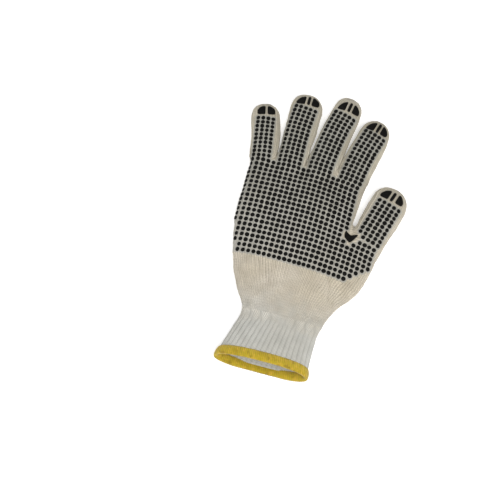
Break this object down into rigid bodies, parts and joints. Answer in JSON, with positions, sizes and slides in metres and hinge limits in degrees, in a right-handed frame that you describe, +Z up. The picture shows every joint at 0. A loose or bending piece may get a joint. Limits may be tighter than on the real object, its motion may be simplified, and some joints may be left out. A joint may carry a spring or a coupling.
{
  "type": "grip knit glove",
  "caption": "String-knit work glove for the right hand, lying palm up, with rubber grip dots, fingertip patches, a ribbed cuff and an overlocked hem.",
  "frame": {"origin": "middle of the glove's box, on the surface that the glove lies on", "axes": "+Y to the fingertips, +X to the thumb side, +Z up out of the palm"},
  "size_m": [0.1404, 0.2438, 0.0181],
  "materials": {
    "knit": "matt",
    "rib": "matt",
    "hem": "matt",
    "grip": "satin"
  },
  "bodies": {
    "root": {"knit_palm": "knit", "pinky_finger": "knit", "ring_finger": "knit", "middle_finger": "knit", "index_finger": "knit", "thumb": "knit", "ribbed_cuff": "rib", "overlock_hem": "hem", "pinky_tip_patch_1": "grip", "pinky_tip_patch_2": "grip", "ring_tip_patch_1": "grip", "ring_tip_patch_2": "grip", "ring_tip_patch_3": "grip", "middle_tip_patch_1": "grip", "middle_tip_patch_2": "grip", "middle_tip_patch_3": "grip", "index_tip_patch_1": "grip", "index_tip_patch_2": "grip", "index_tip_patch_3": "grip", "thumb_tip_patch_1": "grip", "thumb_tip_patch_2": "grip", "thumb_tip_patch_3": "grip", "thumb_crotch_patch": "grip"}
  },
  "joints": []
}
